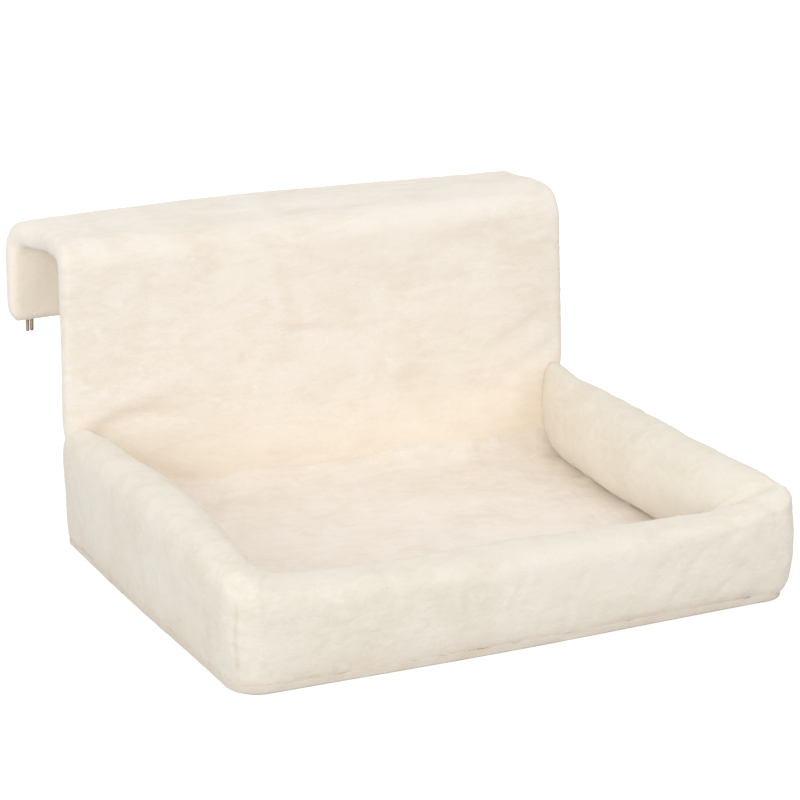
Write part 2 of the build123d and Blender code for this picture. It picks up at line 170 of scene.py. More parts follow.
class StageSettings(bpy.types.PropertyGroup):
    """Camera and light."""

    focal_length: number("Focal length", "Focal length of the camera, in millimetres", 119.75)
    camera_place: bpy.props.FloatVectorProperty(
        name="Camera place",
        description="Where the camera stands",
        default=(-0.8335, -1.8218, 0.7228),
        size=3,
        subtype="TRANSLATION",
    )
    camera_yaw: number("Yaw", "Turn of the camera round the bed", math.radians(-24.3088), "ANGLE")
    camera_pitch: number("Pitch", "How far the camera looks down", math.radians(16.2332), "ANGLE")
    camera_roll: number("Roll", "Roll of the camera", math.radians(-0.8242), "ANGLE")
    key_power: number("Key", "Power of the key light", 26, "POWER")
    fill_power: number("Fill", "Power of the fill light", 7, "POWER")
    surround: number("Surround", "Strength of the light from all round", 0.86)


# The settings, by the names they have in the scene
GROUPS = {
    "cat_bed_strip": StripSizes,
    "cat_bed_tub": TubSizes,
    "cat_bed_finish": FinishSettings,
    "cat_bed_sewing": SewingSizes,
    "cat_bed_stage": StageSettings,
}


# Shapes in numbers


def ramp(x, start, end):
    """A smooth step from 0 at the start to 1 at the end."""
    x = np.clip((x - start) / (end - start), 0.0, 1.0)
    return x * x * (3 - 2 * x)


def hump(x, centre, width):
    """A smooth bump of height 1."""
    return np.exp(-(((x - centre) / width) ** 2))


def softened(values, reach):
    """A row of values with its kinks eased over some neighbours on each side."""
    steps = np.arange(-3 * reach, 3 * reach + 1)
    kernel = np.exp(-0.5 * (steps / reach) ** 2)
    padded = np.pad(values, 3 * reach, mode="edge")
    return np.convolve(padded, kernel / kernel.sum(), mode="valid")


def ripples(points, size, seed, waves=28):
    """Smooth uneven waves of about one size over points, between about -1 and 1."""
    rng = np.random.default_rng(seed)
    total = np.zeros(len(points))
    for _ in range(waves):
        direction = rng.normal(size=3)
        direction /= np.linalg.norm(direction)
        turns = 2 * math.pi / (size * rng.uniform(0.7, 1.6))
        total += np.sin(points @ direction * turns + rng.uniform(0, 2 * math.pi))
    return total / math.sqrt(waves)


LARGE_TUFTS, SMALL_TUFTS, TUFT_WAVES = 7 * MM, 3.4 * MM, 40


def pile(points, large, small, seed):
    """The uneven surface of brushed pile: tufts of two sizes, with their heights in millimetres."""
    tufts = large * MM * ripples(points, LARGE_TUFTS, seed, TUFT_WAVES)
    return tufts + small * MM * ripples(points, SMALL_TUFTS, seed + 1, TUFT_WAVES)


def foot_pleats(points):
    """The upright pleats that the rim and the tray share at their seam."""
    return ripples(points * [1, 1, 0.15], 20 * MM, SEED + 1)


def crease(x, z, line, width):
    """How near points lie to a drawn line, 0 to 1 with faded ends, and their signed distance from it."""
    best = np.full(len(x), np.inf)
    signed = np.zeros(len(x))
    along = np.zeros(len(x))
    done = 0.0
    for start, end in zip(line, line[1:]):
        span = math.dist(start, end)
        dx, dz = (end[0] - start[0]) / span, (end[1] - start[1]) / span
        t = np.clip((x - start[0]) * dx + (z - start[1]) * dz, 0, span)
        ox, oz = x - start[0] - t * dx, z - start[1] - t * dz
        away = np.hypot(ox, oz)
        nearer = away < best
        best[nearer] = away[nearer]
        signed[nearer] = (ox * -dz + oz * dx)[nearer]
        along[nearer] = (done + t)[nearer]
        done += span
    fade = ramp(along, 0, 0.3 * done) * ramp(along, done, 0.7 * done)
    return fade * hump(best, 0, width), signed


def arc_points(centre, radius, start, end, count):
    """Points on an arc between two angles in degrees."""
    angles = np.radians(np.linspace(start, end, count))
    return np.stack([centre[0] + radius * np.cos(angles), centre[1] + radius * np.sin(angles)], 1)


# Meshes


def linked(name, data):
    """A new object in the scene."""
    obj = bpy.data.objects.new(name, data)
    bpy.context.scene.collection.objects.link(obj)
    return obj


def closed_grid(name, rows, ends, more_faces=()):
    """A mesh of rings of points. Its ends are closed by a fan, by a zip of their halves or by more faces."""
    count, around = rows.shape[:2]
    points = rows.reshape(-1, 3).tolist()
    faces = []
    for r in range(count - 1):
        for c in range(around):
            d = (c + 1) % around
            faces.append((r * around + c, r * around + d, (r + 1) * around + d, (r + 1) * around + c))
    for row in (0, count - 1):
        base = row * around
        if ends == "fan":
            points.append(rows[row].mean(0).tolist())
            centre = len(points) - 1
            faces += [(base + c, base + (c + 1) % around, centre) for c in range(around)]
        elif ends == "zip":
            last = base + around - 1
            faces += [(base + c, base + c + 1, last - 1 - c, last - c) for c in range(around // 2 - 1)]
    mesh = bpy.data.meshes.new(name)
    mesh.from_pydata(points, [], [*faces, *more_faces])
    turned = bmesh.new()
    turned.from_mesh(mesh)
    bmesh.ops.recalc_face_normals(turned, faces=turned.faces)
    turned.to_mesh(mesh)
    turned.free()
    mesh.polygons.foreach_set("use_smooth", [True] * len(mesh.polygons))
    return linked(name, mesh)


def places(obj):
    """The mesh's points as an array."""
    co = np.empty(len(obj.data.vertices) * 3)
    obj.data.vertices.foreach_get("co", co)
    return co.reshape(-1, 3)


def place(obj, points):
    """Moves the mesh's points."""
    obj.data.vertices.foreach_set("co", np.asarray(points, float).ravel())
    obj.data.update()


def push(obj, distances):
    """Moves the mesh's points along their normals."""
    directions = np.empty(len(obj.data.vertices) * 3)
    obj.data.vertex_normals.foreach_get("vector", directions)
    place(obj, places(obj) + directions.reshape(-1, 3) * distances[:, None])


def divide(obj):
    """Divides the mesh once."""
    subdivision = obj.modifiers.new("subdivision", "SUBSURF")
    subdivision.levels = 1
    subdivision.render_levels = 1
    graph = bpy.context.evaluated_depsgraph_get()
    graph.update()
    mesh = bpy.data.meshes.new_from_object(obj.evaluated_get(graph))
    obj.modifiers.clear()
    old = obj.data
    obj.data = mesh
    bpy.data.meshes.remove(old)
    mesh.name = obj.name
    mesh.polygons.foreach_set("use_smooth", [True] * len(mesh.polygons))


def store(obj, name, values):
    """Keeps a value at each point for the material."""
    layer = obj.data.attributes.new(name, "FLOAT", "POINT")
    layer.data.foreach_set("value", np.asarray(values, np.float32))


# Plush round its stuffing, as the cloth simulation takes it
COVER_CLOTH = {
    "quality": 5,
    "mass": 0.25,
    "tension_stiffness": 12,
    "compression_stiffness": 12,
    "shear_stiffness": 4,
    "bending_stiffness": 0.4,
    "use_pressure": True,
    "uniform_pressure_force": 5.0,
    "shrink_min": -0.02,
    "vertex_group_mass": "seams",
}
CLOTH_STEPS = 20
WRINKLE_SPREAD = 14
WRINKLE_SHARE = 0.4
WRINKLE_CAP = 1.6 * MM


def swollen(obj, held):
    """Where the points of a stuffed cover come to rest: cloth blown up from inside and held at its seams."""
    work = linked(obj.name + "_work", obj.data.copy())
    pins = work.vertex_groups.new(name="seams")
    pins.add(np.nonzero(held)[0].tolist(), 1.0, "REPLACE")
    cloth = work.modifiers.new("cover", "CLOTH")
    for key, value in COVER_CLOTH.items():
        setattr(cloth.settings, key, value)
    cloth.settings.effector_weights.gravity = 0
    cloth.point_cache.frame_start = 1
    cloth.point_cache.frame_end = CLOTH_STEPS
    scene = bpy.context.scene
    for step in range(1, CLOTH_STEPS + 1):
        scene.frame_set(step)
    graph = bpy.context.evaluated_depsgraph_get()
    result = places(work.evaluated_get(graph))
    scene.frame_set(1)
    bpy.data.objects.remove(work)
    return result


def neighbours_mean(obj, values, rounds):
    """Values at the points, averaged with their neighbours some times over."""
    edges = np.empty(len(obj.data.edges) * 2, np.int64)
    obj.data.edges.foreach_get("vertices", edges)
    a, b = edges.reshape(-1, 2).T
    degree = np.bincount(a, minlength=len(values)) + np.bincount(b, minlength=len(values))
    for _ in range(rounds):
        total = np.zeros_like(values)
        np.add.at(total, a, values[b])
        np.add.at(total, b, values[a])
        values = 0.5 * values + 0.5 * total / degree[:, None]
    return values


def wrinkle(obj, held):
    """Adds to a cover the wrinkles that its stuffing gives it, without its overall shape."""
    before = places(obj)
    change = swollen(obj, held) - before
    detail = WRINKLE_SHARE * (change - neighbours_mean(obj, change, WRINKLE_SPREAD))
    size = np.linalg.norm(detail, axis=1)
    detail *= (np.minimum(size, WRINKLE_CAP) / np.maximum(size, 1e-9))[:, None]
    place(obj, before + detail)


# Finishes


# How the pile lies on each piece: the scales of its streaks, and its tone as shares of the plush colours
PILES = {
    "strip": ((0.35, 1, 1), (0.985, 0.99, 1.0)),
    # The rim's tone, darker than the panel's, is painted shade
    "rim": ((0.45, 0.6, 1), (0.91, 0.925, 0.915)),
    "floor": ((0.4, 1, 1), (1.01, 1.01, 1.03)),
    # The tray's darker tone is painted shade near the ground
    "tray": ((0.4, 1, 1), (0.80, 0.79, 0.77)),
    # The plain pile of the frame's hidden covers; the same name marks where painted bounce light is laid on
    # the strip
    "plain_pile_and_bounce_light": ((0.35, 1, 1), (1.0, 1.0, 1.0)),
}


class Nodes:
    """Short ways to build the nodes of a material or a world."""

    def __init__(self, owner):
        owner.use_nodes = True
        self.owner = owner
        self.tree = owner.node_tree
        self.shader = self.tree.nodes.get("Principled BSDF")

    def link(self, source, target):
        self.tree.links.new(source, target)

    def new(self, kind, inputs=None, **settings):
        node = self.tree.nodes.new(kind)
        for key, value in settings.items():
            setattr(node, key, value)
        for key, value in (inputs or {}).items():
            if isinstance(value, bpy.types.NodeSocket):
                self.link(value, node.inputs[key])
            else:
                node.inputs[key].default_value = value
        return node

    def coordinates(self, scale=(1, 1, 1)):
        source = self.new("ShaderNodeTexCoord").outputs["Object"]
        return self.new("ShaderNodeMapping", {"Vector": source, "Scale": scale}).outputs["Vector"]

    def noise(self, vector, scale, detail=3.0, roughness=0.55, distortion=0.0):
        inputs = {"Vector": vector, "Scale": scale, "Detail": detail, "Roughness": roughness}
        return self.new("ShaderNodeTexNoise", {**inputs, "Distortion": distortion}).outputs["Fac"]

    def ranged(self, value, low, high):
        inputs = {"Value": value, "From Min": low, "From Max": high}
        return self.new("ShaderNodeMapRange", inputs, interpolation_type="SMOOTHSTEP").outputs["Result"]

    def worked(self, operation, first, second):
        return self.new("ShaderNodeMath", {0: first, 1: second}, operation=operation).outputs[0]

    def sum(self, *terms):
        parts = [self.worked("MULTIPLY", value, weight) for value, weight in terms]
        total = parts[0]
        for part in parts[1:]:
            total = self.worked("ADD", total, part)
        return total

    def attribute(self, name):
        return self.new("ShaderNodeAttribute", attribute_name=name).outputs["Fac"]

    def blend(self, factor, first, second):
        first, second = (c if isinstance(c, bpy.types.NodeSocket) else (*c, 1.0) for c in (first, second))
        node = self.new("ShaderNodeMix", {"Factor": factor, 6: first, 7: second}, data_type="RGBA")
        return node.outputs[2]

    def finish(self, colour, height, distance, strength, **settings):
        """Colours the shader, gives it a bump in millimetres and sets its other inputs."""
        inputs = {"Height": height, "Distance": distance * MM, "Strength": strength}
        bump = self.new("ShaderNodeBump", inputs)
        self.link(bump.outputs["Normal"], self.shader.inputs["Normal"])
        self.link(colour, self.shader.inputs["Base Color"])
        for key, value in settings.items():
            self.shader.inputs[key.replace("_", " ")].default_value = value
        return self.owner


def new_material(name):
    """The nodes of a new material."""
    return Nodes(bpy.data.materials.new(name))


def toned(colour, share):
    """A colour made darker or lighter."""
    return [share * c for c in colour]


def plush_finish(part, colours):
    """Short brushed pile, its tufts lying along the axis that the streak scale makes long."""
    streak, tone = PILES[part]
    kinds = (colours.plush, colours.plush_shade, colours.plush_tip)
    full, shade, tip = ([c * t for c, t in zip(kind, tone)] for kind in kinds)
    m = new_material(f"plush_{part}")
    still = m.coordinates()
    lying = m.coordinates(streak)
    patches = m.noise(still, 13, detail=2, roughness=0.5, distortion=0.8)
    brushed = m.noise(lying, 80, detail=3, roughness=0.6, distortion=1.0)
    tufts = m.noise(lying, 330, detail=3, roughness=0.65, distortion=0.4)
    fibres = m.noise(lying, 1400, detail=2, roughness=0.6)
    ruffled = m.ranged(m.noise(still, 21, detail=3, roughness=0.6, distortion=1.5), 0.56, 0.66)
    fine = m.sum((tufts, 0.6), (fibres, 0.4))
    shown = m.ranged(m.sum((patches, 0.4), (brushed, 0.35), (fine, 0.25)), 0.28, 0.6)
    raised = m.worked("MULTIPLY", ruffled, m.ranged(fine, 0.42, 0.6))
    tipped = m.blend(m.sum((raised, 0.55)), m.blend(shown, shade, full), tip)
    # Painted bounce light, blended in by the attribute that marks the flap's inside and the panel's foot
    bounce_light = m.blend(shown, toned(colours.plush_bounce_light, 0.93), colours.plush_bounce_light)
    mixed = m.blend(m.attribute("plain_pile_and_bounce_light"), tipped, bounce_light)
    # Painted shade: the tuck attribute blends in the crease-shade colour where shade falls in seams, folds
    # and low on the rim
    colour = m.blend(m.sum((m.attribute("tuck"), 0.6)), mixed, colours.plush_crease_shade)
    height = m.sum((brushed, 0.12), (tufts, 0.38), (fibres, 0.5))
    sheen = {"Sheen_Weight": 0.35, "Sheen_Roughness": 0.55, "Sheen_Tint": (1.0, 0.97, 0.92, 1.0)}
    return m.finish(colour, height, 1.5, 0.4, Roughness=0.95, Specular_IOR_Level=0.15, **sheen)


def wire_finish(colours):
    """Satin bronze-coated spring wire, drawn along its length."""
    m = new_material("bronzed_wire")
    drawn = m.noise(m.coordinates((1, 1, 0.06)), 1500, detail=2)
    worn = m.noise(m.coordinates(), 260)
    mixed = m.ranged(m.sum((drawn, 0.5), (worn, 0.5)), 0.4, 0.62)
    colour = m.blend(mixed, toned(colours.wire, 0.8), toned(colours.wire, 1.25))
    return m.finish(colour, drawn, 0.05, 0.4, Metallic=0.55, Roughness=0.42)


def grained(name, scale, colours, distance, strength, stretch=(1, 1, 1), detail=2, **settings):
    """A plain finish of one fine grain between two colours."""
    m = new_material(name)
    grain = m.noise(m.coordinates(stretch), scale, detail=detail)
    return m.finish(m.blend(grain, *colours), grain, distance, strength, **settings)


def tube_finish(colours):
    """Powder-coated steel tube."""
    m = new_material("coated_tube")
    grain = m.noise(m.coordinates(), 1700, detail=2)
    colour = m.blend(m.ranged(grain, 0.35, 0.65), colours.tube, toned(colours.tube, 1.35))
    return m.finish(colour, grain, 0.06, 0.5, Roughness=0.5, Metallic=0.0)


def steel_finish():
    """Zinc-plated screws."""
    pair = (0.55, 0.56, 0.58), (0.72, 0.72, 0.7)
    return grained("zinc_steel", 2200, pair, 0.03, 0.4, stretch=(0.1, 1, 1), Metallic=1.0, Roughness=0.32)


def plastic_finish():
    """Moulded black plastic with a fine grain."""
    pair = (0.012, 0.012, 0.013), (0.03, 0.03, 0.031)
    return grained("black_plastic", 2600, pair, 0.05, 0.5, Roughness=0.55)


def thread_finish(colours):
    """Twisted sewing thread."""
    pair = toned(colours.thread, 0.85), colours.thread
    return grained("sewing_thread", 2400, pair, 0.08, 0.5, Roughness=0.8)


def filling_finish():
    """Loose white wadding and foam, hidden in the covers."""
    pair = (0.74, 0.73, 0.69), (0.86, 0.86, 0.84)
    return grained("white_wadding", 140, pair, 1.0, 0.5, detail=4, Roughness=0.95)


def tape_finish(colours):
    """Woven closure tape."""
    m = new_material("closure_tape")
    inputs = {"Vector": m.coordinates(), "Scale": 420, "Distortion": 0.6}
    threads = [m.new("ShaderNodeTexWave", inputs, bands_direction=way).outputs["Fac"] for way in "XZ"]
    weave = m.sum(*((thread, 0.5) for thread in threads))
    colour = m.blend(weave, toned(colours.tape, 0.82), colours.tape)
    return m.finish(colour, weave, 0.25, 0.6, Roughness=0.9)


# The rim: sections along the tub's three walls


# Places along a side from the rear to the front corner, with the rim's width and height there
SIDE_PLACE_SHARES = (0.0, 0.04, 0.12, 0.23, 0.36, 0.53, 0.72, 0.91, 1.0)
SIDE_WIDTH_SHARES = (0.42, 0.56, 0.74, 0.83, 0.98, 1.02, 0.95, 0.85, 0.82)
SIDE_HEIGHT_SHARES = (1.01, 1.0, 1.0, 1.0, 1.0, 0.99, 0.96, 0.91, 0.89)

# Places along the front from the left corner to the right, with the rim's width and height there
FRONT_PLACE_SHARES = (0.0, 0.045, 0.1, 0.16, 0.32, 0.55, 0.76, 0.86, 0.93, 0.965, 1.0)
FRONT_WIDTH_SHARES = (0.86, 0.9, 0.95, 0.98, 1.0, 1.0, 1.0, 0.98, 0.94, 0.9, 0.86)
FRONT_HEIGHT_SHARES = (1.165, 1.1, 1.035, 1.01, 0.985, 1.0, 0.965, 0.985, 1.02, 1.08, 1.165)

# Sections along a side, a corner and half of the front, and points along each stretch of a section
SIDE_STATIONS, BEND_STATIONS, FRONT_STATIONS = 94, 15, 56
STRETCHES = (4, 16, 10, 14, 8, 4, 8)

# A section: rounding at its seam, height above it where the inner face ends, and slope inward below that
HEM_ROUND = 0.8 * MM
FOOT_RISE = 15 * MM
FOOT_SLOPE = 3 * MM

# A section: how much of a wave its face swells by, power of its shoulder's curve, and limit of its crest
SWELL = 0.8 * math.pi
SHOULDER_POWER = 0.82
CREST_LIMIT = 0.62

# Shares of a section's width at its foot and of its height where it is widest, on the sides and the front
FOOT_SHARES = (0.44, 0.62)
WAIST_SHARES = (0.57, 0.46)

# The swell of the outer face all round the rim, and how much squarer the right front corner is
PLAIN_BULGE = 1.2 * MM
CORNER_SQUARENESS = 0.66

# The rim's ends: how far they reach back past the panel's front, and over what length they are rounded
REAR_WRAP = 9 * MM
END_ROUND = 7 * MM

# Places along the rim are counted 0 to 1 on the left side, to 2 on the front and to 3 on the right side
RIGHT_CORNER = 2.0

# Where the corner seams cross: on the front beside the left corner, and on the right side behind its corner
CORNER_SEAMS = (1.012, 2.03)


def half_rim(tub, side, radius):
    """Stations from the rear to the middle of the front: outer and inner place, and count along the rim."""
    side_run = PANEL_FRONT - TUB_FRONT
    front_run = HALF_WIDTH - radius
    inner_radius = 3 * MM
    inner_face = tub.front_width
    reach = inner_face + inner_radius
    catch = reach - radius
    fade = 1.2 * catch
    centre = np.array([side * front_run, TUB_FRONT + radius])
    inner_centre = np.array([side * (HALF_WIDTH - reach), TUB_FRONT + reach])
    rows = []
    for over in np.linspace(side_run - radius + REAR_WRAP, 0, SIDE_STATIONS)[:-1]:
        y = centre[1] + over
        inner = (side * (HALF_WIDTH - inner_face), y + catch * math.exp(-over / fade))
        rows.append((side * HALF_WIDTH, y, *inner, (side_run - radius - over) / side_run))
    corner_span = radius / side_run + radius / (2 * HALF_WIDTH)
    for done in np.linspace(0, 1, BEND_STATIONS)[:-1]:
        turn = done * math.pi / 2
        arm = np.array([side * math.cos(turn), -math.sin(turn)])
        count = 1 - radius / side_run + done * corner_span
        rows.append((*(centre + radius * arm), *(inner_centre + inner_radius * arm), count))
    for over in np.linspace(0, front_run, FRONT_STATIONS):
        x = side * (front_run - over)
        inner = (x - side * catch * math.exp(-over / fade) * (1 - over / front_run), TUB_FRONT + inner_face)
        rows.append((x, TUB_FRONT, *inner, 1 + (radius + over) / (2 * HALF_WIDTH)))
    return np.array(rows)


def rim_profiles(tub):
    """Along the rim: place of the outer line, direction inward, count, and the sizes of each section."""
    left = half_rim(tub, -1, tub.left_radius)
    right = half_rim(tub, 1, tub.right_radius)
    right[:, 4] = 3 - right[:, 4]
    rows = np.concatenate([left, right[-2::-1]])
    outer, inner, count = rows[:, 0:2], rows[:, 2:4], rows[:, 4]
    along_side = np.minimum(count, 3 - count)
    on_side = along_side <= 1

    def shaped(side, side_shares, front, front_shares):
        """A size along the whole rim, from its shares on the sides and on the front."""
        at_side = side * np.interp(along_side, SIDE_PLACE_SHARES, side_shares)
        return np.where(on_side, at_side, front * np.interp(count - 1, FRONT_PLACE_SHARES, front_shares))

    width = shaped(tub.side_width, SIDE_WIDTH_SHARES, tub.front_width, FRONT_WIDTH_SHARES)
    height = shaped(tub.side_height, SIDE_HEIGHT_SHARES, tub.front_height, FRONT_HEIGHT_SHARES)
    height += tub.right_rise * hump(count, RIGHT_CORNER + 0.16, 0.16)
    height -= tub.right_drop * hump(count, RIGHT_CORNER, 0.05)
    square = hump(count, RIGHT_CORNER, 0.17)
    crest = np.where(on_side, tub.shoulder, tub.shoulder + 2 * MM) * (1 - CORNER_SQUARENESS * square)
    shoulder = np.where(on_side, tub.shoulder, 0.85 * tub.shoulder) * (1 - CORNER_SQUARENESS * square)
    bulge = PLAIN_BULGE + tub.front_bulge * ramp(along_side, 0.95, 1.15) + tub.right_bulge * square
    sizes = (
        softened(width, 3),
        softened(height, 3),
        softened(crest, 6),
        softened(shoulder, 6),
        softened(bulge, 4),
        softened(np.where(on_side, *FOOT_SHARES), 5),
        softened(np.where(on_side, *WAIST_SHARES), 5),
    )
    return outer, (inner - outer) / tub.front_width, count, np.stack(sizes, 1)


def rim_section(foot_z, width, height, crest, shoulder, bulge, foot_share, waist_share):
    """One section of the rim as distance from the outer face and height, from the seam round to the seam."""
    crest = min(crest, CREST_LIMIT * width)
    waist_z = foot_z + waist_share * (height - foot_z)
    foot = foot_share * width
    floor_z = foot_z + FOOT_RISE
    inner_foot = foot - FOOT_SLOPE
    hem, face, over, top, under, down, base = (np.linspace(0, 1, n, endpoint=False) for n in STRETCHES)
    hem, over, top, under = (t * math.pi / 2 for t in (hem, over, top, under))
    face_foot, face_top = foot_z + HEM_ROUND, height - shoulder
    face_out = -bulge * np.sin(SWELL * face) ** 0.5
    shoulder_out = bulge * math.sin(SWELL) ** 0.5
    over_in, over_up = np.cos(over) ** SHOULDER_POWER, np.sin(over) ** SHOULDER_POWER
    stretches = (
        (HEM_ROUND * (1 - np.sin(hem)), foot_z + HEM_ROUND * (1 - np.cos(hem))),
        (face_out, face_foot + face * (face_top - face_foot)),
        (crest - (crest + shoulder_out) * over_in, face_top + shoulder * over_up),
        (crest + (width - crest) * np.sin(top), waist_z + (height - waist_z) * np.cos(top)),
        (foot + (width - foot) * np.cos(under), floor_z + (waist_z - floor_z) * (1 - np.sin(under))),
        (foot - FOOT_SLOPE * down, floor_z + (foot_z - floor_z) * down),
        (inner_foot + (HEM_ROUND - inner_foot) * base, foot_z + 0 * base),
    )
    return np.concatenate([np.stack(stretch, 1) for stretch in stretches])


def rim_rows(tub):
    """Rings of points round the stuffed rim, with each ring's count along it."""
    outer, lean, count, sizes = rim_profiles(tub)
    steps = np.linalg.norm(np.diff(outer, axis=0), axis=1)
    run = np.concatenate([[0], np.cumsum(steps)])
    rows = []
    for start, direction, here, size in zip(outer, lean, run, sizes):
        section = rim_section(tub.seam_height, *size)
        near_end = min(here, run[-1] - here)
        if near_end < END_ROUND:
            shrink = 0.93 + 0.07 * math.sqrt(1 - (1 - near_end / END_ROUND) ** 2)
            centre = section.mean(0) * [1, 0.8]
            section = centre + (section - centre) * shrink
        rows.append(np.concatenate([start + section[:, :1] * direction, section[:, 1:]], 1))
    return np.array(rows), count


def bowed(points, tub):
    """Points with the tub's foot bowed out at the middle of the front and drawn in at the left corner."""
    x, y, z = points.T / MM
    low = 1 - 0.7 * ramp(z, 0, 60)
    bow = tub.front_bow * hump(x, -20, 150) * ramp(y, FRONT + 25, FRONT)
    taper = tub.left_taper * ramp(y, 90, -190) * ramp(x, -190, -226)
    return points + np.stack([taper * low, -bow * low, 0 * low], 1)


def rim_seams(points, tub):
    """How far the rim's seams and folds move each point, and how much painted shade it gets in seams, folds
    and pleats and low on the outer face.
    """
    x, y, z = points.T / MM
    seam_z = tub.seam_height / MM
    upright = ramp(z, 12, 22) * ramp(z, 72, 60)
    wander = 0.8 * np.sin(z / 9)
    move, tuck = np.zeros((2, len(points)))
    # The two corner seams, gathered along their thread, with painted shade along them
    for gap, where in (
        (x + HALF - 7 - wander, upright * ramp(y, FRONT + 15, FRONT + 9)),
        (y - FRONT - 12 + wander, upright * ramp(x, HALF - 9, HALF - 4) * 0.8),
    ):
        line = hump(gap, 0, 1.1) * where
        gathers = np.sin(z / 1.9) * np.exp(-np.abs(gap) / 6) * where
        move += 0.3 * MM * gathers - tub.tuck * line
        tuck = np.maximum(tuck, 0.5 * line)
    # The folds behind the front crest, deep at the right corner and faint at the left, with painted shade in
    # them
    crest = ramp(z, 55, 67)
    behind = y - FRONT - 33 + 15 * ramp(x, 170, 222)
    right_end = crest * ramp(x, 150, 180) * ramp(x, HALF - 1, HALF - 10)
    left_end = crest * ramp(x, -165, -185) * ramp(x, 12 - HALF, 32 - HALF)
    move -= tub.valley * hump(behind, 0, 6) * (right_end + 0.15 * left_end)
    tuck = np.maximum(tuck, 0.35 * hump(behind, 0, 2.5) * (right_end + 0.2 * left_end))
    # The pleats at the foot, and painted shade in the pleats' troughs, along the seam, low on the outer face
    # and where the rim meets the panel, the floor and the tray
    low = hump(z, seam_z + 2, 7)
    pleats = foot_pleats(points)
    move += 0.5 * MM * pleats * low
    inner = ramp(np.minimum(HALF - np.abs(x), y - FRONT), 26, 32)
    at_panel = ramp(y, PANEL - 4, PANEL) * ramp(np.abs(x), HALF - 6, HALF - 10)
    tuck = np.maximum(tuck, 0.8 * at_panel)
    tuck = np.maximum(tuck, 0.25 * inner * ramp(z, 30, 25))
    tuck += 0.24 * (1 - inner) * ramp(z, 34, 6)
    tuck = np.maximum(tuck, 0.5 * ramp(pleats, -0.7, -1.9) * low)
    tuck += 0.3 * (1 - inner) * hump(z, seam_z, 2.5)
    return move, np.clip(tuck, 0, 1)


def build_rim(tub):
    """The stuffed rim in one shell, its seams drawn in."""
    rows, count = rim_rows(tub)
    rim = closed_grid("stuffed_rim", rows, "fan")
    rings, around = rows.shape[:2]
    ring = np.repeat(np.arange(rings), around)
    column = np.tile(np.arange(around), rings)
    foot = (column < 2) | (column > around - STRETCHES[-1] - 2)
    ends = (ring < 2) | (ring > rings - 3)
    at_seam = np.any([np.abs(count[ring] - seam) < 0.008 for seam in CORNER_SEAMS], axis=0)
    held = np.ones(len(rim.data.vertices))
    held[: len(ring)] = foot | ends | at_seam
    wrinkle(rim, held)
    place(rim, bowed(places(rim), tub))
    points = places(rim)
    waves = 0.5 * MM * ripples(points, 75 * MM, SEED + 2) + 0.15 * MM * ripples(points, 26 * MM, SEED + 3)
    push(rim, waves * ramp(points[:, 2], tub.seam_height, tub.seam_height + 6 * MM))
    divide(rim)
    points = places(rim)
    move, tuck = rim_seams(points, tub)
    push(rim, move + pile(points, 0.12, 0.12, SEED + 4))
    store(rim, "tuck", tuck)
    return rim


# The padded strip


# Points along the strip's panel, front top edge, top, rear top edge and flap, across it, and round each end
STRIP_STEPS = (66, 13, 24, 12, 24)
STRIP_ACROSS, STRIP_TURN = 104, 7

# Folds of the panel as in the photograph, in millimetres: points across and up, width, and depth share
PANEL_FOLDS = (
    (((-218, 86), (-200, 97), (-178, 105), (-130, 109)), 7, 1.0),
    (((-150, 232), (-154, 199), (-157, 183), (-163, 150)), 6, 0.4),
    (((-62, 165), (-22, 160), (30, 153)), 5, 0.4),
    (((150, 118), (189, 139), (224, 160)), 7, 0.5),
    (((170, 92), (200, 112), (226, 124)), 6, 0.3),
    (((80, 212), (127, 221), (200, 236)), 8, 0.4),
    (((-190, 76), (-160, 58), (-134, 47), (-100, 36)), 7, 0.55),
    (((-110, 37), (-60, 33), (0, 31), (90, 31), (205, 27)), 6, 1.0),
)


def strip_line(front, rear, top, front_radius, rear_radius, foot, hem):
    """One side of the strip in the upright plane, from its foot over the top to its hem."""
    first, second = (front + front_radius, top - front_radius), (rear - rear_radius, top - rear_radius)
    up, front_turn, over, rear_turn, down = STRIP_STEPS
    return np.concatenate([
        np.linspace((front, foot), (front, first[1]), up)[:-1],
        arc_points(first, front_radius, 180, 90, front_turn)[:-1],
        np.linspace((first[0], top), (second[0], top), over)[:-1],
        arc_points(second, rear_radius, 90, 0, rear_turn)[:-1],
        np.linspace((rear, second[1]), (rear, hem), down),
    ])


def rounded_end(outer, inner, reach):
    """Pairs of points that close the strip's foot or hem with a round nose."""
    angles = np.radians(np.linspace(0, 90, 7)[1:])
    middle, half = (outer + inner) / 2, (outer - inner) / 2
    drop = np.outer(np.sin(angles) * reach, (0, -1))
    closing = np.maximum(np.cos(angles), 0.02)[:, None]
    return middle + half * closing + drop, middle - half * closing + drop


def strip_lines(strip):
    """The strip's outer and inner line, ring by ring."""
    end, thick = strip.end_radius, strip.thickness
    low, hem = end, HEM - 2 * MM + end
    under = TOP - strip.top_thickness
    inner_radii = strip.inner_front_radius, strip.inner_rear_radius
    outer = strip_line(PANEL_FRONT, FLAP_REAR, TOP, strip.front_radius, strip.rear_radius, low, hem)
    inner = strip_line(PANEL_FRONT + thick, FLAP_REAR - thick, under, *inner_radii, low, hem)
    foot_outer, foot_inner = rounded_end(outer[0], inner[0], end)
    hem_outer, hem_inner = rounded_end(outer[-1], inner[-1], end)
    outer = np.concatenate([foot_outer[::-1], outer, hem_outer])
    inner = np.concatenate([foot_inner[::-1], inner, hem_inner])
    return outer, inner


